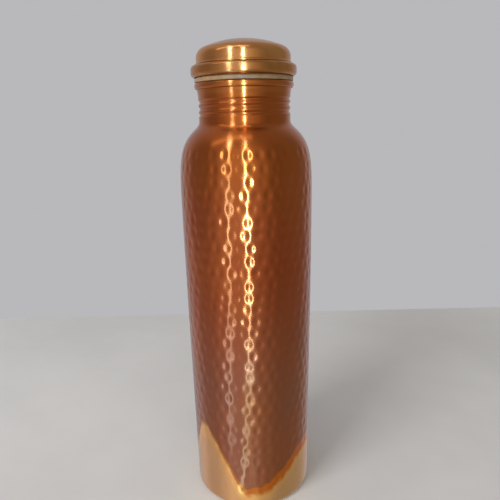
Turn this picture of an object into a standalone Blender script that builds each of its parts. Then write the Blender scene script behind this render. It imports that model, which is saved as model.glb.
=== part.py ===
"""Hammered copper water bottle with a screw-in stopper lid, built from its separate pressed pieces.

World frame: metres, +Z up, origin at the centre of the foot on the surface that the bottle stands on.
The lid turns anticlockwise about +Z and climbs one thread pitch a turn.
All sizes below are millimetres and are turned into metres as each mesh is made.
"""
import math

import bpy

MM = 0.001
SEGMENTS = 32            # flat sides round every turned piece
GAP = 0.3                # clearance left between pieces that touch on the real bottle

# Bottle body: one drawn copper sheet from the foot to the rolled lip.
BODY_SHEET = 0.6
FOOT_RADIUS = 35.1       # at the top of the rounded foot corner
FOOT_CORNER = 3.2
FOOT_FLANGE_INNER = 27.5
SHOULDER_RADIUS = 37.0   # widest, under the shoulder
SHOULDER_START = 183.0   # height where the wall begins to close in
SHOULDER_PULLS = ((SHOULDER_RADIUS, 205.2), (36.0, 211.8))
SHOULDER_END = (27.1, 219.1)
WALL_BULGE = (36.2, 85.0)  # the wall stands out a little from a straight cone
NECK_RADIUS = 25.1       # outside of the plain neck
NECK_START = 222.3       # height where the shoulder has become the neck
NECK_FLARE = 0.4         # how far the neck has opened out where it meets the lip

# Screw thread, rolled into the neck and matched on the plug.
PITCH = 3.4
THREAD_DEPTH = 0.7
THREAD_LOW = 225.6
THREAD_HIGH = 235.5
THREAD_START = 0.22      # turns round from +X at which the lowest crest starts
THREAD_FADE = 1.2        # height over which the thread runs out at each end
THREAD_ROWS_PER_PITCH = 5
THREAD_PLAY = 0.35       # radial play between the neck's inside and the plug's outside

# Rolled lip: the sheet's outside becomes the inside of the roll.
LIP_RADIUS = 26.9
LIP_TOP = 243.35
LIP_ROLL_WIDTH = 1.0     # half the roll's width outside the sheet
LIP_ROLL_HEIGHT = 1.7    # half the roll's height outside the sheet

# Base plate: a dished disc that lies on the foot's flange from inside.
PLATE_SHEET = 0.6
PLATE_RADIUS = 32.0
PLATE_DISH = 3.6
PLATE_DISH_RADIUS = 27.0

# Lid pieces: heights here are measured up from the lip's top, where the lid's own origin is.
RING_OUTER = 26.6
RING_INNER = 24.1
RING_THICK = 2.55
RING_ROUND = 0.8
RIM_SHEET = 0.6
RIM_RADIUS = 28.5
RIM_INNER = 23.95
RIM_BOTTOM = GAP + RING_THICK + GAP
RIM_HEIGHT = 5.7
RIM_BULGE = 2.3          # how far the rim's roll stands out from its flat top and bottom
RIM_UPSTAND = 3.5        # height of the collar that the dome is pushed over
DOME_SHEET = 0.6
DOME_RADIUS = 25.4
DOME_EDGE = 25.95        # the dome's lower edge, turned out over the rim
DOME_TOP = 21.9
DOME_CROWN = 58.0        # radius of the crown's curve
DOME_CORNER = 6.5        # radius between crown and wall
PLUG_SHEET = 0.5
PLUG_LENGTH = 18.7
PLUG_WALL = NECK_RADIUS - BODY_SHEET - THREAD_PLAY - THREAD_DEPTH
PLUG_FLANGE = 26.2
PLUG_FLANGE_LEVEL = RIM_BOTTOM + RIM_SHEET + GAP + PLUG_SHEET
PLUG_TURN_IN = 20.9
PLUG_THREAD_LOW = THREAD_LOW + 0.6
PLUG_CORNER = 0.5
DISC_SHEET = 0.6
DISC_RADIUS = 22.3
DISC_DISH = 1.2
DISC_DISH_RADIUS = 19.5


def empty_scene():
    """Remove what the start-up file holds."""
    for old in list(bpy.data.objects):
        bpy.data.objects.remove(old, do_unlink=True)


def metal(name, colour, roughness):
    """Bare metal material."""
    material = bpy.data.materials.new(name)
    material.use_nodes = True
    shader = material.node_tree.nodes["Principled BSDF"]
    shader.inputs["Base Color"].default_value = (*colour, 1.0)
    shader.inputs["Metallic"].default_value = 1.0
    shader.inputs["Roughness"].default_value = roughness
    return material


def silicone(name, colour, roughness):
    """Milky silicone rubber."""
    material = bpy.data.materials.new(name)
    material.use_nodes = True
    shader = material.node_tree.nodes["Principled BSDF"]
    shader.inputs["Base Color"].default_value = (*colour, 1.0)
    shader.inputs["Roughness"].default_value = roughness
    return material


def arc(centre, radii, start, end, steps):
    """Points along an elliptical arc, in degrees, ends included."""
    points = []
    for i in range(steps + 1):
        angle = math.radians(start + (end - start) * i / steps)
        points.append((centre[0] + radii[0] * math.cos(angle), centre[1] + radii[1] * math.sin(angle)))
    return points


def bezier(start, pull_start, pull_end, end, steps):
    """Points along a cubic curve, ends included."""
    points = []
    for i in range(steps + 1):
        t = i / steps
        weights = ((1 - t) ** 3, 3 * (1 - t) ** 2 * t, 3 * (1 - t) * t * t, t ** 3)
        corners = (start, pull_start, pull_end, end)
        points.append(tuple(sum(w * c[k] for w, c in zip(weights, corners)) for k in (0, 1)))
    return points


def turned(name, outline, material, sheet, collection, parent):
    """Turn an outline of (radius, height) points about Z. It runs down the piece's outer side.

    With a sheet thickness the turned face is made a shell that grows towards the inside.
    """
    mesh = bpy.data.meshes.new(name)
    corners = [(radius * MM, 0.0, height * MM) for radius, height in outline]
    edges = [(i, i + 1) for i in range(len(corners) - 1)]
    mesh.from_pydata(corners, edges, [])
    piece = bpy.data.objects.new(name, mesh)
    collection.objects.link(piece)
    piece.parent = parent
    piece.data.materials.append(material)

    screw = piece.modifiers.new("turn", "SCREW")
    screw.axis = "Z"
    screw.steps = SEGMENTS
    screw.render_steps = SEGMENTS
    screw.use_merge_vertices = True
    screw.merge_threshold = 0.00001
    screw.use_smooth_shade = True

    if sheet:
        add_sheet(piece, sheet)
    return piece


def add_sheet(piece, sheet):
    """Give a turned face its sheet thickness, inwards from the face."""
    shell = piece.modifiers.new("sheet", "SOLIDIFY")
    shell.thickness = sheet * MM
    shell.offset = -1.0
    shell.use_even_offset = True


def groove(angle, height):
    """How deep the rolled thread is here, 0 on a crest and 1 in a groove: a right-hand helix."""
    turns = (height - THREAD_LOW) / PITCH - angle / (2 * math.pi) - THREAD_START
    return 0.5 - 0.5 * math.cos(2 * math.pi * turns)


def fade(height, low, high):
    """1 inside the threaded height, falling smoothly to 0 at both of its ends."""
    inside = min(height - low, high - height) / THREAD_FADE
    share = max(0.0, min(1.0, inside))
    return share * share * (3 - 2 * share)


def press_thread(piece, shift, low, high, base_height):
    """Freeze the turned face and press the thread into it: shift(angle, height) is in millimetres."""
    depsgraph = bpy.context.evaluated_depsgraph_get()
    mesh = bpy.data.meshes.new_from_object(piece.evaluated_get(depsgraph))
    piece.modifiers.clear()
    piece.data = mesh
    for vertex in mesh.vertices:
        height = vertex.co.z / MM + base_height
        if low < height < high:
            angle = math.atan2(vertex.co.y, vertex.co.x)
            radius = math.hypot(vertex.co.x, vertex.co.y)
            scale = 1.0 + shift(angle, height) * MM / radius
            vertex.co.x *= scale
            vertex.co.y *= scale


def thread_rows(radius, top, bottom):
    """Evenly spaced points down a threaded wall, close enough together to carry the thread."""
    rows = round((top - bottom) / PITCH * THREAD_ROWS_PER_PITCH)
    return [(radius, top + (bottom - top) * i / rows) for i in range(rows + 1)]


def body_outline():
    """From the tucked end of the rolled lip, over the lip, and down the outside to the foot's flange."""
    roll_centre = (LIP_RADIUS - LIP_ROLL_WIDTH, LIP_TOP - LIP_ROLL_HEIGHT)
    roll_radii = (LIP_ROLL_WIDTH - BODY_SHEET, LIP_ROLL_HEIGHT - BODY_SHEET)
    outline = arc(roll_centre, roll_radii, -90, 180, 9)
    flare = NECK_RADIUS + NECK_FLARE
    outline += bezier((flare, LIP_TOP - 3.9), (flare, LIP_TOP - 5.0),
                      (NECK_RADIUS, LIP_TOP - 5.6), (NECK_RADIUS, THREAD_HIGH + 0.5), 3)
    outline += thread_rows(NECK_RADIUS, THREAD_HIGH, THREAD_LOW)
    outline += bezier((NECK_RADIUS, NECK_START), (NECK_RADIUS, NECK_START - 1.6),
                      (SHOULDER_END[0] - 1.0, SHOULDER_END[1] + 0.8), SHOULDER_END, 3)
    shoulder = bezier(SHOULDER_END, SHOULDER_PULLS[1], SHOULDER_PULLS[0],
                      (SHOULDER_RADIUS, SHOULDER_START), 8)
    outline += shoulder[1:]
    outline += [(SHOULDER_RADIUS, 160.0), WALL_BULGE]
    corner_centre = (FOOT_RADIUS - FOOT_CORNER, FOOT_CORNER)
    outline += arc(corner_centre, (FOOT_CORNER, FOOT_CORNER), 0, -90, 4)
    outline += [(FOOT_FLANGE_INNER, 0.0)]
    return outline


def dished(level, rise, reach):
    """Points from the centre of a dished disc to the edge of its dish."""
    shares = (0.0, 0.26, 0.5, 0.74, 0.89, 1.0)
    return [(reach * share, level + rise * math.cos(math.pi / 2 * share) ** 2) for share in shares]


def plate_outline():
    """Dished disc, centre to edge."""
    level = BODY_SHEET + GAP + PLATE_SHEET
    return dished(level, PLATE_DISH, PLATE_DISH_RADIUS) + [(PLATE_RADIUS, level)]


def ring_outline():
    """Closed rounded section of the sealing ring, starting and ending at its inner top corner."""
    top = GAP + RING_THICK
    round_in = RING_OUTER - RING_ROUND
    outline = [(RING_INNER, top)]
    outline += arc((round_in, top - RING_ROUND), (RING_ROUND, RING_ROUND), 90, 0, 3)
    outline += arc((round_in, GAP + RING_ROUND), (RING_ROUND, RING_ROUND), 0, -90, 3)
    outline += [(RING_INNER, GAP), (RING_INNER, top)]
    return outline


def dome_outline():
    """Crown, rounded corner, straight wall and the lower edge turned out over the rim."""
    crown_centre = DOME_TOP - DOME_CROWN
    corner_r = DOME_RADIUS - DOME_CORNER
    corner_z = crown_centre + math.sqrt((DOME_CROWN - DOME_CORNER) ** 2 - corner_r ** 2)
    meet = math.degrees(math.atan2(corner_z - crown_centre, corner_r))
    outline = arc((0.0, crown_centre), (DOME_CROWN, DOME_CROWN), 90, meet, 4)
    outline += arc((corner_r, corner_z), (DOME_CORNER, DOME_CORNER), meet, 0, 5)[1:]
    edge = RIM_BOTTOM + RIM_HEIGHT + GAP + 0.1
    outline += [(DOME_RADIUS, edge + 1.4), (DOME_RADIUS + 0.2, edge + 0.7), (DOME_EDGE, edge + 0.5)]
    return outline


def rim_outline():
    """Upstand inside the dome, flat shoulder, rolled bulge and the flat that presses on the ring."""
    upstand = DOME_RADIUS - DOME_SHEET - GAP
    top = RIM_BOTTOM + RIM_HEIGHT
    half = RIM_HEIGHT / 2
    outline = [(upstand, top + RIM_UPSTAND), (upstand, top)]
    outline += arc((RIM_RADIUS - RIM_BULGE, RIM_BOTTOM + half), (RIM_BULGE, half), 90, -90, 8)
    outline += [(RIM_INNER, RIM_BOTTOM)]
    return outline


def plug_outline():
    """Flange inside the rim, plain wall, threaded wall and the turned-in lower edge."""
    outline = [(PLUG_FLANGE, PLUG_FLANGE_LEVEL), (PLUG_WALL + 0.15, PLUG_FLANGE_LEVEL)]
    outline += [(PLUG_WALL, PLUG_FLANGE_LEVEL - 0.6)]
    outline += thread_rows(PLUG_WALL, THREAD_HIGH - LIP_TOP, PLUG_THREAD_LOW - LIP_TOP)
    outline += [(PLUG_WALL, PLUG_CORNER - PLUG_LENGTH), (PLUG_WALL - PLUG_CORNER, -PLUG_LENGTH)]
    outline += [(PLUG_TURN_IN, -PLUG_LENGTH)]
    return outline


def disc_outline():
    """Slightly dished disc that closes the plug, lying on its turned-in edge."""
    level = PLUG_SHEET + GAP + DISC_SHEET - PLUG_LENGTH
    return dished(level, DISC_DISH, DISC_DISH_RADIUS) + [(DISC_RADIUS, level)]


def neck_shift(angle, height):
    """The neck's grooves are pressed in from its plain outside."""
    return -THREAD_DEPTH * groove(angle, height) * fade(height, THREAD_LOW, THREAD_HIGH)


def plug_shift(angle, height):
    """The plug's crests stand out from its plain wall where the neck's crests are."""
    return THREAD_DEPTH * (1 - groove(angle, height)) * fade(height, PLUG_THREAD_LOW, THREAD_HIGH)


def build():
    """Make every piece of the bottle in its own named object."""
    empty_scene()
    collection = bpy.data.collections.new("copper_water_bottle")
    bpy.context.scene.collection.children.link(collection)

    bottle_base = bpy.data.objects.new("bottle_base", None)
    lid_axis = bpy.data.objects.new("lid_axis", None)
    lid_axis.location = (0.0, 0.0, LIP_TOP * MM)
    for guide in (bottle_base, lid_axis):
        collection.objects.link(guide)

    hammered = metal("hammered_copper", (0.55, 0.21, 0.10), 0.32)
    bright = metal("bright_copper", (0.78, 0.42, 0.22), 0.35)
    polished = metal("polished_copper", (0.80, 0.46, 0.24), 0.22)
    plain = metal("plain_copper", (0.72, 0.36, 0.20), 0.40)
    milky = silicone("milky_silicone", (0.62, 0.52, 0.42), 0.45)

    body = turned("body_shell", body_outline(), hammered, 0, collection, bottle_base)
    press_thread(body, neck_shift, THREAD_LOW, THREAD_HIGH, 0.0)
    add_sheet(body, BODY_SHEET)
    turned("base_plate", plate_outline(), bright, PLATE_SHEET, collection, bottle_base)

    turned("sealing_ring", ring_outline(), milky, 0, collection, lid_axis)
    turned("cap_dome", dome_outline(), polished, DOME_SHEET, collection, lid_axis)
    turned("cap_rim", rim_outline(), polished, RIM_SHEET, collection, lid_axis)
    plug = turned("plug_sleeve", plug_outline(), plain, 0, collection, lid_axis)
    press_thread(plug, plug_shift, PLUG_THREAD_LOW, THREAD_HIGH, LIP_TOP)
    add_sheet(plug, PLUG_SHEET)
    turned("plug_disc", disc_outline(), plain, DISC_SHEET, collection, lid_axis)


build()
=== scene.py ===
import math
import random

import bpy
import numpy as np
from mathutils import Matrix, Vector


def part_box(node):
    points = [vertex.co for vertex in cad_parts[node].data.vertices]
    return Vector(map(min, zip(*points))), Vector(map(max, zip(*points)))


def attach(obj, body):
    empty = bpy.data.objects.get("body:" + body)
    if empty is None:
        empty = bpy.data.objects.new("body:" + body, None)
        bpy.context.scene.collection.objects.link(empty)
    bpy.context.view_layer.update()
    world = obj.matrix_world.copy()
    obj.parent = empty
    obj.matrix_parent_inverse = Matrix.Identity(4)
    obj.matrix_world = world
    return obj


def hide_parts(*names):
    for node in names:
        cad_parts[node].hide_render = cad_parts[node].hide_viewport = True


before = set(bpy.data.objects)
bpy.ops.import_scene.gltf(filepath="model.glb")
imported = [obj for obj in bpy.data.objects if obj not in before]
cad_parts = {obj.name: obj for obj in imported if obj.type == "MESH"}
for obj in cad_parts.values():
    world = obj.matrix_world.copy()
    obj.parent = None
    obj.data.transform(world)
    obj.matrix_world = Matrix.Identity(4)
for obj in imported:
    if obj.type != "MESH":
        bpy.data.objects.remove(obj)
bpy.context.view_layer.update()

MM = 0.001
FULL_TURN = 2 * math.pi

# ---------------------------------------------------------------- places read from the frame
_, body_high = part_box("body_shell")
ring_low, ring_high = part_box("sealing_ring")
rim_low, rim_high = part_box("cap_rim")
_, dome_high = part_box("cap_dome")
plug_low, plug_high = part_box("plug_sleeve")
disc_low, disc_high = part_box("plug_disc")
plate_low, plate_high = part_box("base_plate")

UPSTAND_HEIGHT = 3.5 * MM
RIM_TOP = rim_high.z - UPSTAND_HEIGHT
SHOULDER_RADIUS = body_high.x

# ---------------------------------------------------------------- body
SHEET = 0.6 * MM
LIP_TOP = 243.35 * MM
FOOT_RADIUS = 35.1 * MM
FOOT_CORNER = 3.2 * MM
FOOT_FLANGE_INNER = 27.5 * MM
SHOULDER_START = 183.0 * MM
SHOULDER_PULLS = [(35.5 * MM, 212.0 * MM), (SHOULDER_RADIUS, 205.2 * MM)]    # draw the curve outward
WALL_PULLS = [(SHOULDER_RADIUS, 140.0 * MM), (36.1 * MM, 75.0 * MM)]
SHOULDER_END = (27.8 * MM, 219.1 * MM)
NECK_RADIUS = 25.1 * MM
NECK_START = 223.4 * MM
NECK_FLARE = 0.4 * MM
LIP_RADIUS = 26.9 * MM
LIP_ROLL = (1.0 * MM, 1.7 * MM)

# ---------------------------------------------------------------- screw thread
PITCH = 3.4 * MM
THREAD_DEPTH = 0.7 * MM
THREAD_LOW = 225.6 * MM
THREAD_HIGH = 235.5 * MM
THREAD_FADE = 1.2 * MM
THREAD_START = 0.22        # turns round from +X at which the lowest crest starts
THREAD_PLAY = 0.35 * MM
THREAD_STEP = 0.22 * MM

# ---------------------------------------------------------------- hammer marks
MARKS_ROUND = 36
MARK_ROW = 6.7 * MM
MARK_DEPTH = 0.24 * MM
MARK_WIDTH = 2.75 * MM     # half the width of a mark where it has died away
MARK_HEIGHT = 3.5 * MM     # half its height there
MARKS_LOW = 12.0 * MM      # lowest row's height
MARKS_HIGH = 207.0 * MM    # highest row's height
ROW_WANDER = 0.35 * MM     # how far a row may lie above or below its place
MARK_WANDER = 0.3 * MM     # how far one mark may lie above or below its row
MARK_DRIFT = 0.09          # how far one mark may lie beside its place, in marks
ROW_OFFSETS = (-0.18, 0.22, 0.45, 0.5)    # shifts of a row against the one above, in marks
BARE_MARK_SHARE = 0.25     # share of their depth that the marks keep on the bare copper

# ---------------------------------------------------------------- mesh and patina
WALL_STEP = 1.0 * MM
WALL_SEGMENTS = MARKS_ROUND * 9
PLAIN_SEGMENTS = MARKS_ROUND * 3
CAP_SEGMENTS = 144
PLUG_SEGMENTS = 108
DISC_SEGMENTS = 96
INSIDE_STEP = 6.0 * MM
TIDE_WIDTH = 18.0 * MM     # height over which the patina gives way to bare copper


# ================================================================ shapes
def arc(centre, radii, start, end, steps):
    """Points along an elliptical arc, in degrees, ends included."""
    turns = np.radians(np.linspace(start, end, steps + 1))
    return [(centre[0] + radii[0] * math.cos(turn), centre[1] + radii[1] * math.sin(turn)) for turn in turns]


def bezier(corners, steps):
    """Points along a cubic curve, ends included."""
    t = np.linspace(0, 1, steps + 1)[:, None]
    p = np.array(corners)
    curve = (1 - t) ** 3 * p[0] + 3 * (1 - t) ** 2 * t * p[1] + 3 * (1 - t) * t * t * p[2] + t ** 3 * p[3]
    return [tuple(point) for point in curve]


def resample(outline, step):
    """The same outline with points evenly spaced, about a step apart."""
    points = np.array(outline)
    along = np.concatenate([[0], np.cumsum(np.hypot(*np.diff(points, axis=0).T))])
    places = np.linspace(0, along[-1], max(2, round(along[-1] / step) + 1))
    return [(float(np.interp(a, along, points[:, 0])), float(np.interp(a, along, points[:, 1])))
            for a in places]


def outward(outline):
    """Unit normals of an outline that runs down the outer side."""
    points = np.array(outline)
    along = np.gradient(points, axis=0)
    normals = np.stack([-along[:, 1], along[:, 0]], axis=1)
    return normals / np.maximum(np.hypot(*normals.T), 1e-12)[:, None]


def inner_side(outline, sheet):
    """The sheet's other face, as an outline that runs back the other way."""
    points = np.array(outline) - outward(outline) * sheet
    return [tuple(point) for point in points[::-1]]


def groove(angle, height):
    """How deep the rolled thread is here, 0 on a crest and 1 in a groove: a right-hand helix."""
    turns = (height - THREAD_LOW) / PITCH - angle / FULL_TURN - THREAD_START
    return 0.5 - 0.5 * np.cos(FULL_TURN * turns)


def fade(height, low, high):
    """1 inside the threaded height, falling smoothly to 0 at both of its ends."""
    share = np.clip(np.minimum(height - low, high - height) / THREAD_FADE, 0, 1)
    return share * share * (3 - 2 * share)


def angles(count):
    """Evenly spaced angles round the axis."""
    return np.arange(count) * (FULL_TURN / count)


def turned_ring(radius, height, count):
    """One ring of points; radius may be one number or one for each point."""
    a = angles(count)
    r = np.broadcast_to(radius, a.shape)
    return np.stack([r * np.cos(a), r * np.sin(a), np.full(count, height)], axis=1)


def skin(name, rings, closed=False, values=None):
    """Join rings of points into one smooth mesh. A ring may have a whole multiple of its neighbour's points.

    A ring of one point is a pole. values holds one number for each ring point, kept as the 'mask' attribute.
    """
    starts = np.concatenate([[0], np.cumsum([len(r) for r in rings])])
    faces = []
    pairs = [(i, i + 1) for i in range(len(rings) - 1)]
    if closed:
        pairs.append((len(rings) - 1, 0))
    for upper, lower in pairs:
        n, m = len(rings[upper]), len(rings[lower])
        a, b = starts[upper], starts[lower]
        if n == m:
            faces += [(a + k, b + k, b + (k + 1) % n, a + (k + 1) % n) for k in range(n)]
        elif n == 1:
            faces += [(a, b + k, b + (k + 1) % m) for k in range(m)]
        elif m == 1:
            faces += [(b, a + (k + 1) % n, a + k) for k in range(n)]
        elif m > n:
            ratio = m // n
            for k in range(n):
                first = k * ratio - (ratio - 1) // 2
                half = k * ratio + ratio // 2
                faces += [(a + k, b + j % m, b + (j + 1) % m) for j in range(first, half)]
                faces.append((a + k, b + half % m, b + (half + 1) % m, a + (k + 1) % n))
        else:
            ratio = n // m
            for k in range(m):
                first = k * ratio - (ratio - 1) // 2
                half = k * ratio + ratio // 2
                faces += [(b + k, a + (j + 1) % n, a + j % n) for j in range(first, half)]
                faces.append((b + k, b + (k + 1) % m, a + (half + 1) % n, a + half % n))
    mesh = bpy.data.meshes.new(name)
    mesh.from_pydata(np.concatenate(rings).tolist(), [], faces)
    mesh.validate()
    mesh.polygons.foreach_set("use_smooth", np.ones(len(mesh.polygons), bool))
    if values is not None:
        mask = mesh.attributes.new("mask", "FLOAT", "POINT")
        mask.data.foreach_set("value", np.concatenate(values).astype(np.float32))
    piece = bpy.data.objects.new(name, mesh)
    bpy.context.scene.collection.objects.link(piece)
    return piece


def shell(name, outline, sheet, count, thread=None):
    """Turned sheet metal: the outline runs down the outer side, and the sheet lies inside it.

    thread(angle, height) gives the shift of both faces.
    """
    loop = list(outline) + inner_side(outline, sheet)
    rings = []
    for radius, height in loop:
        if abs(radius) < 1e-6:
            rings.append(np.array([[0.0, 0.0, height]]))
            continue
        shift = thread(angles(count), height) if thread else 0.0
        rings.append(turned_ring(radius + shift, height, count))
    has_pole = len(rings[0]) == 1
    return skin(name, rings, closed=not has_pole)


# ================================================================ body
def tide_line(angle):
    """Height at which the patina begins to give way. It dips at the front, where the patina runs down.

    places are degrees round from the front, to the right, and heights are in mm.
    """
    turn = np.degrees((angle + FULL_TURN / 4 + math.pi) % FULL_TURN - math.pi)
    places = [-180, -125, -80, -70, -60, -50, -36, -23, -16, -9, 0, 10, 20, 30, 43, 55, 70, 100, 140, 180]
    heights = [36, 31, 28, 36, 50, 57, 45, 31, 21.5, 17, 16.5, 17, 20.5, 27, 33.5, 36.5, 38, 37, 36, 36]
    blurs = range(-4, 5)
    level = sum(np.interp(turn + blur, places, heights) for blur in blurs) / len(blurs)
    ripple = 0.7 * np.sin(9 * angle + 0.7) + 0.5 * np.sin(17 * angle + 2.1) + 0.35 * np.sin(31 * angle)
    return (level + ripple) * MM


def patina(angle, height):
    """1 above the tide line, falling to 0 over TIDE_WIDTH below it, on the bare copper of the foot."""
    return np.clip(1 + (height - tide_line(angle)) / TIDE_WIDTH, 0, 1)


def wall_outline():
    """The hammered part, from the neck's fillet down to the foot's corner."""
    shoulder_foot = (SHOULDER_RADIUS, SHOULDER_START)
    shoulder = bezier([SHOULDER_END, *SHOULDER_PULLS, shoulder_foot], 60)
    wall = bezier([shoulder_foot, *WALL_PULLS, (FOOT_RADIUS, FOOT_CORNER)], 60)
    return resample(shoulder + wall[1:], WALL_STEP)


def hammer_marks(outline):
    """Depth of the hammer marks at each point of the wall's grid."""
    draw = random.Random(7)
    points = np.array(outline)
    down = np.concatenate([[0], np.cumsum(np.hypot(*np.diff(points, axis=0).T))])
    depth = np.zeros((len(points), WALL_SEGMENTS))
    around = angles(WALL_SEGMENTS)
    first = float(np.interp(-MARKS_HIGH, -points[:, 1], down))
    last = float(np.interp(-MARKS_LOW, -points[:, 1], down))
    rows = round((last - first) / MARK_ROW)
    phase = 0.0
    for row in range(rows + 1):
        place = first + (last - first) * row / rows + draw.uniform(-1, 1) * ROW_WANDER
        phase += draw.choice(ROW_OFFSETS)
        for k in range(MARKS_ROUND):
            centre_angle = (k + phase + draw.uniform(-1, 1) * MARK_DRIFT) * FULL_TURN / MARKS_ROUND
            centre_down = place + draw.uniform(-1, 1) * MARK_WANDER
            deep = MARK_DEPTH * draw.uniform(0.55, 1.35)
            wide = MARK_WIDTH * draw.uniform(0.88, 1.12)
            tall = MARK_HEIGHT * draw.uniform(0.88, 1.15)
            near = np.abs(down - centre_down) < tall
            turn = (around - centre_angle + math.pi) % FULL_TURN - math.pi
            side = np.abs(turn) * SHOULDER_RADIUS < wide * 1.5
            across = turn[side][None, :] * points[near, 0][:, None]
            along = (down[near] - centre_down)[:, None]
            reach = np.clip(1 - (across / wide) ** 2 - (along / tall) ** 2, 0, 1)
            depth[np.ix_(near, side)] += deep * reach ** 2
    return depth


def neck_shift(angle, height):
    """The rolled thread's grooves in the neck, 0 elsewhere."""
    return -THREAD_DEPTH * groove(angle, height) * fade(height, THREAD_LOW, THREAD_HIGH)


def threaded_wall(radius, low):
    """Points down a straight wall from the thread's top, close enough together to carry it."""
    rows = round((THREAD_HIGH - low) / THREAD_STEP)
    return [(radius, THREAD_HIGH - (THREAD_HIGH - low) * i / rows) for i in range(rows + 1)]


def make_body():
    """The whole drawn sheet: rolled lip, threaded neck, hammered wall and foot flange, with its inside."""
    roll_centre = (LIP_RADIUS - LIP_ROLL[0], LIP_TOP - LIP_ROLL[1])
    roll_radii = (LIP_ROLL[0] - SHEET, LIP_ROLL[1] - SHEET)
    flare = NECK_RADIUS + NECK_FLARE
    upper = arc(roll_centre, roll_radii, -90, 180, 20)
    upper += bezier([(flare, LIP_TOP - 3.9 * MM), (flare, LIP_TOP - 5.0 * MM),
                     (NECK_RADIUS, LIP_TOP - 5.6 * MM), (NECK_RADIUS, THREAD_HIGH)], 12)
    upper += threaded_wall(NECK_RADIUS, THREAD_LOW)[1:]
    upper += bezier([(NECK_RADIUS, NECK_START), (NECK_RADIUS, NECK_START - 1.9 * MM),
                     (SHOULDER_END[0] - 1.2 * MM, SHOULDER_END[1] + 1.1 * MM), SHOULDER_END], 10)[:-1]
    wall = wall_outline()
    foot = arc((FOOT_RADIUS - FOOT_CORNER, FOOT_CORNER), (FOOT_CORNER, FOOT_CORNER), 0, -90, 10)[1:]
    foot += [(FOOT_FLANGE_INNER + 0.3 * MM, 0.0), (FOOT_FLANGE_INNER, 0.3 * MM)]

    marks = hammer_marks(wall)
    normals = outward(wall)
    rings, values = [], []

    def add(ring):
        """Keep a ring of points, with the patina's mask at each."""
        rings.append(ring)
        values.append(patina(np.arctan2(ring[:, 1], ring[:, 0]), ring[:, 2]))

    for radius, height in upper:
        add(turned_ring(radius + neck_shift(angles(PLAIN_SEGMENTS), height), height, PLAIN_SEGMENTS))
    for i, (radius, height) in enumerate(wall):
        soft = BARE_MARK_SHARE + (1 - BARE_MARK_SHARE) * patina(angles(WALL_SEGMENTS), height)
        depth = marks[i] * soft
        ring = turned_ring(radius - depth * normals[i, 0], height, WALL_SEGMENTS)
        ring[:, 2] -= depth * normals[i, 1]
        add(ring)
    for radius, height in foot:
        add(turned_ring(radius, height, PLAIN_SEGMENTS))
    inside_wall = resample(wall, INSIDE_STEP)
    inside = inner_side(upper + inside_wall[1:] + foot[:-1], SHEET)
    for radius, height in inside:
        add(turned_ring(radius + neck_shift(angles(PLAIN_SEGMENTS), height), height, PLAIN_SEGMENTS))
    return skin("hammered_body", rings, closed=True, values=values)


def dished_disc(name, low, high, dish_radius, steps):
    """A flat margin round a middle that rises smoothly; low and high are the corners of its box."""
    level = low.z + SHEET
    rise = high.z - level
    radii = np.linspace(0, dish_radius, steps + 1)
    dish = [(r, level + rise * math.cos(math.pi / 2 * r / dish_radius) ** 2) for r in radii]
    return shell(name, dish + [(high.x, level)], SHEET, DISC_SEGMENTS)


def make_base_plate():
    """The plate brazed inside the foot."""
    return dished_disc("foot_plate", plate_low, plate_high, dish_radius=27.0 * MM, steps=27)


# ================================================================ lid
def make_ring():
    """Silicone ring, squeezed on the lip: it bulges low down and draws in under the rim."""
    inner = 24.1 * MM
    low = ring_low.z - 0.22 * MM     # the ring is squeezed, so no gap shows at the lip
    high = ring_high.z + 0.2 * MM    # nor at the rim
    bulge = ring_high.x
    outline = [(inner, high), (bulge - 0.7 * MM, high), (bulge - 0.65 * MM, high - 0.2 * MM)]
    outline += bezier([(bulge - 0.6 * MM, high - 0.35 * MM), (bulge - 0.5 * MM, high - 0.6 * MM),
                       (bulge, high - 0.6 * MM), (bulge, low + 0.75 * MM)], 10)
    outline += arc((bulge - 0.4 * MM, low + 0.55 * MM), (0.4 * MM, 0.55 * MM), 0, -90, 10)
    outline += [(inner + 0.3 * MM, low), (inner, low + 0.2 * MM)]
    rings = [turned_ring(r, z, CAP_SEGMENTS) for r, z in outline]
    return skin("silicone_ring", rings, closed=True)


def make_dome():
    """Shallow crown, round shoulder, plain wall and a small rolled edge that stands on the rim."""
    crown_radius = 58.0 * MM
    corner = 5.6 * MM
    wall = 25.4 * MM
    roll = (0.45 * MM, 0.5 * MM)
    crown_centre = dome_high.z - crown_radius
    corner_r = wall - corner
    corner_z = crown_centre + math.sqrt((crown_radius - corner) ** 2 - corner_r ** 2)
    meet = math.degrees(math.atan2(corner_z - crown_centre, corner_r))
    outline = arc((0.0, crown_centre), (crown_radius, crown_radius), 90, meet, 24)
    outline[0] = (0.0, dome_high.z)
    outline += arc((corner_r, corner_z), (corner, corner), meet, 0, 20)[1:]
    edge = RIM_TOP + 0.02 * MM
    outline += [(wall, edge + 1.5 * MM), (wall, edge + 1.25 * MM), (wall + 0.08 * MM, edge + 1.0 * MM)]
    outline += arc((dome_high.x - roll[0], edge + 0.45 * MM), roll, 70, -60, 8)
    return shell("dome_cover", outline, SHEET, CAP_SEGMENTS)


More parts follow.
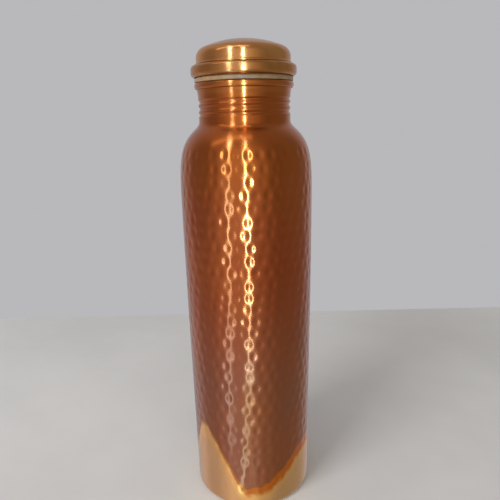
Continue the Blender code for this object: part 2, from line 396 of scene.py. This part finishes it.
def make_rim():
    """Upstand inside the dome, flat shoulder and the flat that presses on the ring.

    Its outer edge is rolled: it is twice as thick below, and hangs a little past the ring's top.
    """
    top = RIM_TOP
    bottom = rim_low.z
    hang = 0.6 * MM
    corner = (2.1 * MM, 2.2 * MM)
    corner_r = rim_high.x - corner[0]
    upstand = 24.5 * MM
    upper = [(upstand, rim_high.z), (upstand, top + 0.5 * MM), (upstand + 0.15 * MM, top + 0.12 * MM),
             (upstand + 0.5 * MM, top)]
    upper += arc((corner_r, top - corner[1]), corner, 90, 0, 14)
    flat = [(24.3 * MM, bottom), (23.95 * MM, bottom)]
    roll_inner = 26.8 * MM
    bead = (0.25 * MM, 0.3 * MM)
    rolled = arc((corner_r, bottom - hang + corner[1]), corner, 0, -90, 14)
    rolled += arc((roll_inner + bead[0], bottom - hang + bead[1]), bead, -90, -180, 5)
    rolled += [(roll_inner, bottom)]
    plain = arc((corner_r, bottom + corner[1]), corner, 0, -90, 14)
    loop = upper + rolled + flat + inner_side(upper + plain + flat, SHEET)
    rings = [turned_ring(radius, height, CAP_SEGMENTS) for radius, height in loop]
    return skin("rolled_rim", rings, closed=True)


PLUG_SHEET = 0.5 * MM
PLUG_WALL = NECK_RADIUS - SHEET - THREAD_PLAY - THREAD_DEPTH
PLUG_THREAD_LOW = THREAD_LOW + 0.6 * MM


def plug_shift(angle, height):
    """The plug's crests stand out from its plain wall where the neck's crests are."""
    return THREAD_DEPTH * (1 - groove(angle, height)) * fade(height, PLUG_THREAD_LOW, THREAD_HIGH)


def make_plug():
    """Flange inside the rim, plain wall, threaded wall and the turned-in lower edge."""
    flange = 26.2 * MM
    lower_edge = 20.9 * MM
    corner = 0.6 * MM
    outline = [(flange, plug_high.z)]
    outline += arc((PLUG_WALL + corner, plug_high.z - corner), (corner, corner), 90, 180, 5)
    outline += threaded_wall(PLUG_WALL, PLUG_THREAD_LOW)
    outline += arc((PLUG_WALL - corner, plug_low.z + corner), (corner, corner), 0, -90, 5)
    outline += [(lower_edge, plug_low.z)]
    return shell("threaded_plug", outline, PLUG_SHEET, PLUG_SEGMENTS, plug_shift)


def make_disc():
    """The plate that closes the plug's lower end."""
    return dished_disc("plug_end", disc_low, disc_high, dish_radius=19.5 * MM, steps=19)


# ================================================================ materials
class Nodes:
    """A short way to build a node tree."""

    def __init__(self, tree):
        self.tree = tree

    def add(self, kind, inputs=None, **settings):
        """A new node. Each input is a socket to link or a value, under its name or number."""
        node = self.tree.nodes.new(kind)
        for name, value in settings.items():
            setattr(node, name, value)
        for key, value in (inputs or {}).items():
            socket = node.inputs[key]
            if isinstance(value, bpy.types.NodeSocket):
                self.tree.links.new(value, socket)
            else:
                socket.default_value = value
        return node

    def maths(self, operation, a, b, c=0.0):
        return self.add("ShaderNodeMath", {0: a, 1: b, 2: c}, operation=operation).outputs[0]

    def ramp(self, value, low, high, start=0.0, end=1.0):
        """value from low..high mapped smoothly to start..end."""
        node = self.add("ShaderNodeMapRange", {0: value, 1: low, 2: high, 3: start, 4: end},
                        interpolation_type="SMOOTHSTEP")
        return node.outputs[0]

    def mix(self, share, first, second):
        """The first colour where share is 0, the second where it is 1. 6, 7 and 2 are the colour sockets."""
        return self.add("ShaderNodeMix", {0: share, 6: first, 7: second}, data_type="RGBA").outputs[2]

    def noise(self, vector, scale, detail, roughness):
        node = self.add("ShaderNodeTexNoise", {"Vector": vector, "Scale": scale, "Detail": detail,
                                               "Roughness": roughness})
        return node.outputs[0]

    def stretch(self, vector, factors):
        """Coordinates scaled along each axis, which stretches a pattern where a factor is under 1."""
        return self.add("ShaderNodeVectorMath", {0: vector, 1: factors}, operation="MULTIPLY").outputs[0]


def new_material(name):
    """A material with its node tree and its Principled BSDF."""
    material = bpy.data.materials.new(name)
    material.use_nodes = True
    shader = material.node_tree.nodes["Principled BSDF"]
    return material, Nodes(material.node_tree), shader


def rgb(red, green, blue):
    return (red, green, blue, 1.0)


def lathe_lines(nodes, place, density):
    """Fine lines round the turning axis: noise of height and radius only."""
    parts = nodes.add("ShaderNodeSeparateXYZ", {0: place})
    flat = nodes.add("ShaderNodeCombineXYZ", {0: parts.outputs[0], 1: parts.outputs[1], 2: 0.0})
    radius = nodes.add("ShaderNodeVectorMath", {0: flat.outputs[0]}, operation="LENGTH").outputs["Value"]
    line = nodes.add("ShaderNodeCombineXYZ", {0: radius, 1: 0.0, 2: parts.outputs[2]})
    return nodes.noise(line.outputs[0], density, 3.0, 0.6)


def brush_round(nodes, shader, amount):
    """Scratches that run round the axis: they stretch highlights along it."""
    shader.inputs["Anisotropic"].default_value = amount
    shader.inputs["Anisotropic Rotation"].default_value = 0.25
    tangent = nodes.add("ShaderNodeTangent", direction_type="RADIAL", axis="Z")
    nodes.tree.links.new(tangent.outputs[0], shader.inputs["Tangent"])


def hammered_copper():
    """Brown patina over copper, bare near the foot, with a darker orange edge between them."""
    material, nodes, shader = new_material("hammered_copper")
    place = nodes.add("ShaderNodeTexCoord").outputs["Object"]
    height = nodes.add("ShaderNodeSeparateXYZ", {0: place}).outputs[2]
    mask = nodes.add("ShaderNodeAttribute", attribute_name="mask", attribute_type="GEOMETRY").outputs["Fac"]

    broad = nodes.noise(nodes.stretch(place, (1.0, 1.0, 0.45)), 28.0, 3.0, 0.55)
    fine = nodes.noise(place, 420.0, 4.0, 0.6)
    ragged = nodes.maths("ADD", mask, nodes.maths("MULTIPLY", nodes.maths("SUBTRACT", fine, 0.5), 0.2))

    # The patina's tone by height in metres: duller low down, redder in the middle, warmer at the lip.
    low_tone = rgb(0.33, 0.120, 0.064)
    middle_tone = rgb(0.37, 0.077, 0.020)
    high_tone = rgb(0.39, 0.094, 0.015)
    lip_tone = rgb(0.46, 0.140, 0.028)
    brown = nodes.mix(nodes.ramp(height, 0.06, 0.15), low_tone, middle_tone)
    brown = nodes.mix(nodes.ramp(height, 0.165, 0.205), brown, high_tone)
    brown = nodes.mix(nodes.ramp(height, 0.233, 0.240), brown, lip_tone)
    brown = nodes.mix(nodes.ramp(broad, 0.35, 0.68, 0.0, 0.5), brown, rgb(0.45, 0.120, 0.027))
    brown = nodes.mix(nodes.ramp(fine, 0.45, 0.85, 0.0, 0.10), brown, rgb(0.24, 0.06, 0.016))
    bare = nodes.mix(nodes.ramp(broad, 0.3, 0.7), rgb(0.74, 0.39, 0.155), rgb(0.82, 0.455, 0.205))
    golden = rgb(0.90, 0.46, 0.15)
    right = nodes.ramp(nodes.add("ShaderNodeSeparateXYZ", {0: place}).outputs[0], -0.022, 0.018)
    edge = nodes.mix(right, rgb(0.46, 0.165, 0.034), rgb(0.72, 0.175, 0.014))
    edge_start = nodes.maths("MULTIPLY_ADD", right, -0.22, 0.60)
    edge_end = nodes.maths("ADD", edge_start, 0.22)

    colour = nodes.mix(nodes.ramp(ragged, 0.05, 0.45), bare, golden)
    colour = nodes.mix(nodes.ramp(ragged, edge_start, edge_end), colour, edge)
    colour = nodes.mix(nodes.ramp(ragged, 0.80, 0.90), colour, brown)
    nodes.tree.links.new(colour, shader.inputs["Base Color"])

    smear = nodes.noise(nodes.stretch(place, (1.0, 1.0, 0.3)), 90.0, 4.0, 0.6)
    roughness = nodes.ramp(smear, 0.3, 0.75, 0.18, 0.27)
    nodes.tree.links.new(roughness, shader.inputs["Roughness"])
    shader.inputs["Metallic"].default_value = 1.0
    shader.inputs["Coat Weight"].default_value = 0.15
    shader.inputs["Coat Roughness"].default_value = 0.06
    brush_round(nodes, shader, 0.8)

    grain = nodes.noise(place, 1500.0, 3.0, 0.55)
    bump = nodes.add("ShaderNodeBump", {"Strength": 0.25, "Distance": 0.00002, "Height": grain})
    nodes.tree.links.new(bump.outputs[0], shader.inputs["Normal"])
    return material


def turned_copper(name, dark, light, low_rough, high_rough):
    """Copper polished on a lathe: fine lines run round it, so highlights stretch across them."""
    material, nodes, shader = new_material(name)
    place = nodes.add("ShaderNodeTexCoord").outputs["Object"]
    broad = nodes.noise(place, 45.0, 3.0, 0.5)
    line = lathe_lines(nodes, place, 2600.0)
    colour = nodes.mix(nodes.ramp(broad, 0.3, 0.7), dark, light)
    colour = nodes.mix(nodes.ramp(line, 0.55, 0.8, 0.0, 0.3), colour, dark)
    nodes.tree.links.new(colour, shader.inputs["Base Color"])
    roughness = nodes.ramp(nodes.noise(place, 160.0, 4.0, 0.6), 0.3, 0.7, low_rough, high_rough)
    nodes.tree.links.new(roughness, shader.inputs["Roughness"])
    shader.inputs["Metallic"].default_value = 1.0
    brush_round(nodes, shader, 0.6)
    bump = nodes.add("ShaderNodeBump", {"Strength": 0.35, "Distance": 0.00002, "Height": line})
    nodes.tree.links.new(bump.outputs[0], shader.inputs["Normal"])
    return material


def milky_silicone():
    """Slightly see-through beige rubber with a soft, dusty surface."""
    material, nodes, shader = new_material("milky_silicone")
    place = nodes.add("ShaderNodeTexCoord").outputs["Object"]
    cloud = nodes.noise(place, 220.0, 3.0, 0.5)
    colour = nodes.mix(nodes.ramp(cloud, 0.3, 0.7), rgb(0.36, 0.230, 0.105), rgb(0.45, 0.305, 0.160))
    nodes.tree.links.new(colour, shader.inputs["Base Color"])
    nodes.tree.links.new(nodes.ramp(cloud, 0.3, 0.7, 0.36, 0.50), shader.inputs["Roughness"])
    shader.inputs["Subsurface Weight"].default_value = 0.35
    shader.inputs["Subsurface Radius"].default_value = (0.0015, 0.0012, 0.0009)
    shader.inputs["Transmission Weight"].default_value = 0.12
    shader.inputs["IOR"].default_value = 1.41
    bump = nodes.add("ShaderNodeBump", {"Strength": 0.2, "Distance": 0.00005,
                                        "Height": nodes.noise(place, 2500.0, 2.0, 0.5)})
    nodes.tree.links.new(bump.outputs[0], shader.inputs["Normal"])
    return material


def pale_floor():
    """Plain off-white cloth laid flat."""
    material, nodes, shader = new_material("pale_floor")
    place = nodes.add("ShaderNodeTexCoord").outputs["Object"]
    cloud = nodes.noise(place, 6.0, 4.0, 0.55)
    colour = nodes.mix(nodes.ramp(cloud, 0.3, 0.7), rgb(0.665, 0.665, 0.660), rgb(0.725, 0.725, 0.72))
    nodes.tree.links.new(colour, shader.inputs["Base Color"])
    shader.inputs["Roughness"].default_value = 0.9
    shader.inputs["Specular IOR Level"].default_value = 0.1
    crease = nodes.noise(place, 14.0, 3.0, 0.5)
    bump = nodes.add("ShaderNodeBump", {"Strength": 0.5, "Distance": 0.004, "Height": crease})
    nodes.tree.links.new(bump.outputs[0], shader.inputs["Normal"])
    return material


# ================================================================ stage, lights, camera
def make_stage():
    """A pale floor that ends behind the bottle, where the wall of the room begins."""
    mesh = bpy.data.meshes.new("floor")
    back, front, side = 0.274, -1.6, 1.6
    corners = [(-side, front, 0), (side, front, 0), (side, back, 0), (-side, back, 0)]
    mesh.from_pydata(corners, [], [(0, 1, 2, 3)])
    floor = bpy.data.objects.new("floor", mesh)
    bpy.context.scene.collection.objects.link(floor)
    mesh.materials.append(pale_floor())
    floor.visible_glossy = False


def area_light(name, centre, across, along, size, radiance, colour):
    """A rectangular light of even radiance: width runs across and height runs along, both unit vectors."""
    data = bpy.data.lights.new(name, "AREA")
    data.shape = "RECTANGLE"
    data.size, data.size_y = size
    data.energy = radiance * math.pi * size[0] * size[1]
    data.color = colour
    light = bpy.data.objects.new(name, data)
    light.matrix_world = Matrix((across, along, across.cross(along))).transposed().to_4x4()
    light.location = centre
    light.visible_camera = False
    bpy.context.scene.collection.objects.link(light)
    return light


BOTTLE_MIDDLE = 130.0 * MM


def light_ribbon(name, points, radiances, angle):
    """A chain of lights along points, each as wide as angle (radians) seen from the bottle's middle.

    radiances holds red, green and blue for each light.
    """
    middle = Vector((0.0, 0.0, BOTTLE_MIDDLE))
    for i, levels in enumerate(radiances):
        start, end = Vector(points[i]), Vector(points[i + 1])
        centre = (start + end) / 2
        along = (end - start).normalized()
        facing = middle - centre
        across = along.cross(-facing).normalized()
        size = (facing.length * angle, (end - start).length)
        strongest = max(levels)
        light = area_light(f"{name}_{i}", centre, across, along, size, strongest,
                           [level / strongest for level in levels])
        light.visible_diffuse = False


def heading_ramp(nodes, side, levels):
    """Light levels by side, from full left (0) to full right (1): a little bluer left and warmer right."""
    ramp = nodes.add("ShaderNodeValToRGB", {0: side})
    ramp.color_ramp.interpolation = "EASE"
    places = [place for place, _ in levels]
    ramp.color_ramp.elements[0].position = places[0]
    ramp.color_ramp.elements[1].position = places[-1]
    for place in places[1:-1]:
        ramp.color_ramp.elements.new(place)
    for element, (place, level) in zip(ramp.color_ramp.elements, levels):
        element.color = rgb(level, level * (0.95 + 0.03 * place), level * (1.02 - 0.14 * place))
    return ramp.outputs[0]


def make_world():
    """Soft room light: brightest in front, dim to the right, with the plain wall behind."""
    world = bpy.data.worlds.new("room")
    bpy.context.scene.world = world
    world.use_nodes = True
    nodes = Nodes(world.node_tree)
    direction = nodes.add("ShaderNodeTexCoord").outputs["Generated"]
    parts = nodes.add("ShaderNodeSeparateXYZ", {0: direction})
    flat = nodes.add("ShaderNodeCombineXYZ", {0: parts.outputs[0], 1: parts.outputs[1]})
    heading = nodes.add("ShaderNodeVectorMath", {0: flat.outputs[0]}, operation="NORMALIZE")
    heading = nodes.add("ShaderNodeSeparateXYZ", {0: heading.outputs[0]})
    side = nodes.maths("MULTIPLY_ADD", heading.outputs[0], 0.5, 0.5)
    high = heading_ramp(nodes, side, [(0.0, 0.36), (0.067, 0.50), (0.155, 0.74), (0.25, 0.90), (0.36, 0.95),
                                      (0.5, 0.95), (0.64, 0.84), (0.75, 0.62), (0.85, 0.40), (0.93, 0.30),
                                      (1.0, 0.33)])
    low = heading_ramp(nodes, side, [(0.0, 0.50), (0.067, 0.68), (0.155, 0.84), (0.25, 0.78), (0.36, 0.78),
                                     (0.5, 0.70), (0.64, 0.54), (0.75, 0.48), (0.85, 0.41), (0.93, 0.37),
                                     (1.0, 0.37)])
    room = nodes.mix(nodes.ramp(parts.outputs[2], -0.36, -0.08), low, high)
    room = nodes.mix(nodes.ramp(heading.outputs[1], 0.30, 0.88), room, rgb(0.485, 0.480, 0.500))
    ceiling = nodes.mix(nodes.ramp(parts.outputs[0], -0.7, 0.7), rgb(0.66, 0.62, 0.58), rgb(0.38, 0.37, 0.36))
    room = nodes.mix(nodes.ramp(parts.outputs[2], 0.50, 0.90), room, ceiling)
    nodes.tree.links.new(room, world.node_tree.nodes["Background"].inputs["Color"])


def make_lights():
    """Two ribbons of light from floor to overhead, which draw the bright lines, a band and a soft key."""
    white = (1.0, 1.0, 1.0)
    centre = [(-0.014, -0.045, 0.002), (-0.018, -0.11, 0.002), (-0.008, -0.20, 0.002), (0.0, -0.36, 0.002),
              (0.0, -0.45, 0.05), (0.0, -0.45, 0.24), (0.0, -0.45, 0.34), (0.0, -0.40, 0.567),
              (0.0, -0.30, 0.717), (-0.07, -0.14, 0.80)]
    centre_levels = [(0.9, 2.0, 2.3), (1.8, 4.2, 5.2), (3.5, 8.4, 10.0), (13.0, 26.0, 32.0),
                     (30.0, 60.0, 95.0), (28.0, 40.0, 52.0), (16.0, 20.0, 26.0), (12.0, 17.0, 26.0),
                     (2.2, 2.8, 3.4)]
    light_ribbon("line_centre", centre, centre_levels, angle=0.042)

    left = [(-0.045, -0.07, 0.002), (-0.085, -0.11, 0.002), (-0.15, -0.20, 0.002), (-0.225, -0.36, 0.01),
            (-0.215, -0.391, 0.19), (-0.215, -0.391, 0.285), (-0.224, -0.332, 0.567),
            (-0.205, -0.22, 0.717), (-0.20, -0.05, 0.80)]
    left_levels = [(0.4, 0.9, 1.3), (0.75, 1.65, 2.5), (1.3, 2.9, 4.3), (3.4, 7.4, 12.0), (1.4, 2.5, 3.8),
                   (6.0, 8.4, 11.0), (6.0, 11.5, 19.0), (1.6, 2.4, 3.4)]
    light_ribbon("line_left", left, left_levels, angle=0.085)

    rightward = Vector((1.0, 0.0, 0.0))
    tilted = Vector((0.0, -0.22, 0.54)).normalized()
    band = area_light("overhead", (-0.30, -0.19, 0.80), rightward, tilted.cross(rightward), (0.80, 0.12), 1.3,
                      white)
    band.visible_diffuse = False

    position = Vector((-0.60, -0.65, 0.80))
    facing = position.normalized()
    across = Vector((0.0, 0.0, 1.0)).cross(facing).normalized()
    key = area_light("key", position, across, facing.cross(across), (0.45, 0.45), 8.6, white)
    key.visible_glossy = False


def make_camera():
    """The photograph's viewpoint: close up, level with the foot of the neck, and tilted down."""
    data = bpy.data.cameras.new("camera")
    data.sensor_width = 36.0
    data.lens = 36.0
    data.clip_start = 0.01
    camera = bpy.data.objects.new("camera", data)
    bpy.context.scene.collection.objects.link(camera)
    camera.location = (0.0012, -0.2843, 0.2246)
    camera.rotation_mode = "ZYX"
    tilt, turn = 14.75, -1.33
    camera.rotation_euler = (math.radians(90 - tilt), 0.0, math.radians(turn))
    bpy.context.scene.camera = camera


# ================================================================ assembly
def fit(piece, body, nodes, material):
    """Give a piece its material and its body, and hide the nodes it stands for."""
    piece.data.materials.append(material)
    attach(piece, body)
    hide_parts(*nodes)


bpy.context.scene.view_settings.view_transform = "Standard"
make_camera()
make_stage()
make_world()
make_lights()

polished = turned_copper("polished_copper", rgb(0.50, 0.205, 0.060), rgb(0.62, 0.29, 0.10), 0.15, 0.22)
rolled = turned_copper("rolled_copper", rgb(0.42, 0.17, 0.048), rgb(0.55, 0.25, 0.082), 0.17, 0.25)
plain = turned_copper("plain_copper", rgb(0.62, 0.27, 0.11), rgb(0.75, 0.37, 0.18), 0.30, 0.42)
bright = turned_copper("bright_copper", rgb(0.78, 0.40, 0.19), rgb(0.90, 0.52, 0.28), 0.28, 0.42)

fit(make_body(), "bottle", ["body_shell"], hammered_copper())
fit(make_base_plate(), "bottle", ["base_plate"], bright)
fit(make_ring(), "ring", ["sealing_ring"], milky_silicone())
fit(make_dome(), "lid", ["cap_dome"], polished)
fit(make_rim(), "lid", ["cap_rim"], rolled)
fit(make_plug(), "lid", ["plug_sleeve"], plain)
fit(make_disc(), "lid", ["plug_disc"], plain)
